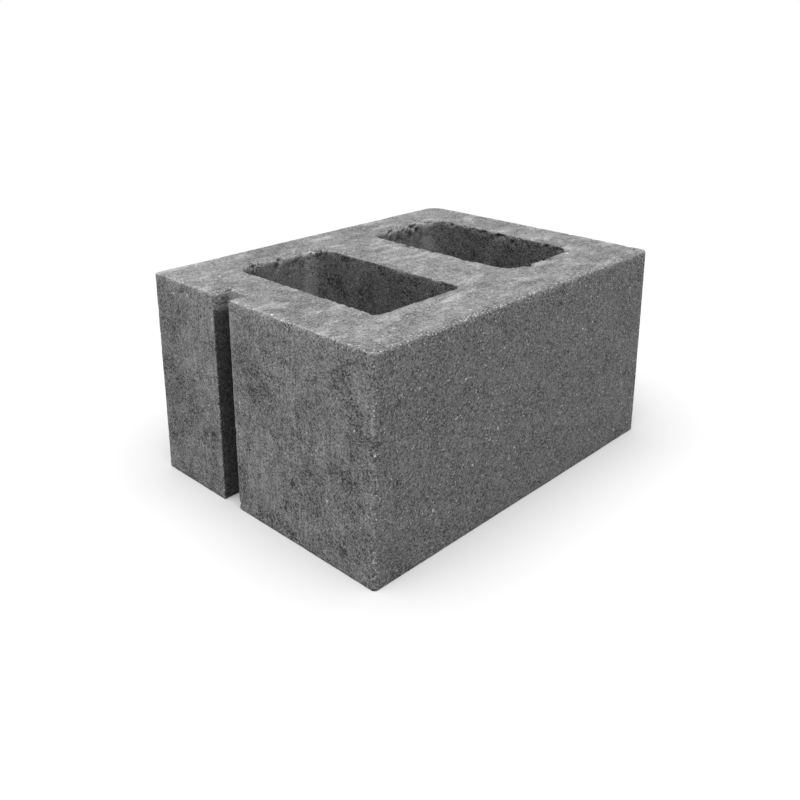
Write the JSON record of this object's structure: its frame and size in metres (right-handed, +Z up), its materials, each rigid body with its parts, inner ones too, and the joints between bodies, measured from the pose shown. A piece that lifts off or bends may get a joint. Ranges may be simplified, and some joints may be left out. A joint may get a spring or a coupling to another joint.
{
  "type": "hollow concrete block",
  "caption": "Rectangular hollow masonry block in dark grey cast concrete, with rounded through cores and an upright sash groove in one end.",
  "frame": {"origin": "centre of the bed face, the flat face that the block rests on, which is the bottom centre of its box", "axes": "+X along the length of the wall, from the grooved end to the plain end; +Y through the wall, from the thick front shell to the thin back shell; +Z up"},
  "size_m": [0.39, 0.29, 0.2],
  "materials": {
    "concrete": "matt"
  },
  "bodies": {
    "root": {"block": "concrete"}
  },
  "joints": []
}
